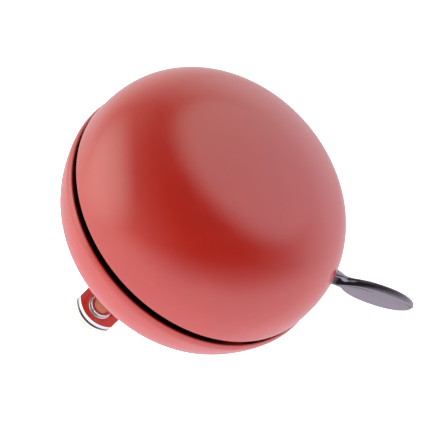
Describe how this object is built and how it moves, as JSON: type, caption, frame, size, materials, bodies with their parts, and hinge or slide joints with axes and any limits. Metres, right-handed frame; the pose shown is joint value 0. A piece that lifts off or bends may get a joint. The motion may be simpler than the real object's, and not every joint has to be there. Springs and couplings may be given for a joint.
{
  "type": "bicycle bell",
  "caption": "Two-tone bicycle bell: stacked red gongs, thumb lever with a geared rotor and loose strikers inside, and a chromed handlebar clamp.",
  "frame": {"origin": "centre of the handlebar clamp's bore", "axes": "+Y along the handlebar, +Z from the clamp up through both gongs to the crown, +X across the handlebar"},
  "size_m": [0.0812, 0.105, 0.0839],
  "materials": {
    "red_paint": "satin red lacquer",
    "chrome": "bright plating",
    "black_gloss": "polished black",
    "bright_steel": "zinc plated",
    "spring_steel": "oiled",
    "yellow_zinc": "yellow passivated",
    "brass": "machined",
    "fibre": "pressed fibre"
  },
  "bodies": {
    "bell": {"clamp_saddle": "chrome", "clamp_strap": "chrome", "clamp_screw_left": "yellow_zinc", "clamp_screw_right": "yellow_zinc", "lock_washer_left": "bright_steel", "lock_washer_right": "bright_steel", "upper_gong": "red_paint", "upper_gong_hub": "bright_steel", "upper_anvil": "bright_steel", "lower_gong": "red_paint", "lower_anvil": "red_paint", "outer_washer": "fibre", "inner_washer": "fibre", "centre_post": "bright_steel", "mechanism_plate": "bright_steel", "lever_pivot_pin": "bright_steel", "rest_stop": "bright_steel", "press_stop": "bright_steel", "spring_post": "bright_steel", "thrust_washer": "fibre", "rotor_clip": "spring_steel", "return_spring": "spring_steel"},
    "lever": {"lever_blade": "bright_steel", "thumb_paddle": "black_gloss"},
    "rotor": {"rotor_pinion": "brass", "rotor_arm": "bright_steel", "striker_pin_dong": "bright_steel", "striker_pin_ding": "bright_steel"},
    "striker_ding": {"striker_ding": "spring_steel"},
    "striker_dong": {"striker_dong": "spring_steel"}
  },
  "joints": [
    {"name": "lever_pivot", "type": "hinge", "parent": "bell", "child": "lever", "pos_m": [0.01053, -0.02377, 0.0363], "axis": [0, 0, 1], "range_deg": [0, 25], "stiffness_Nm_per_rad": 0.12, "springref_deg": -34.38, "deforming": ["return_spring"]},
    {"name": "rotor_spin", "type": "hinge", "parent": "bell", "child": "rotor", "pos_m": [0, 0, 0.0363], "axis": [0, 0, 1], "range_deg": [-84, 0.5]},
    {"name": "striker_ding_slide", "type": "slide", "parent": "rotor", "child": "striker_ding", "axis": [0.1392, 0.9903, 0], "range_m": [-0.0012, 0.0012]},
    {"name": "striker_dong_slide", "type": "slide", "parent": "rotor", "child": "striker_dong", "axis": [-0.1392, -0.9903, 0], "range_m": [-0.0012, 0.0012]}
  ],
  "couplings": [
    {"joint": "rotor_spin", "follows": "lever_pivot", "ratio": -3.3333}
  ]
}
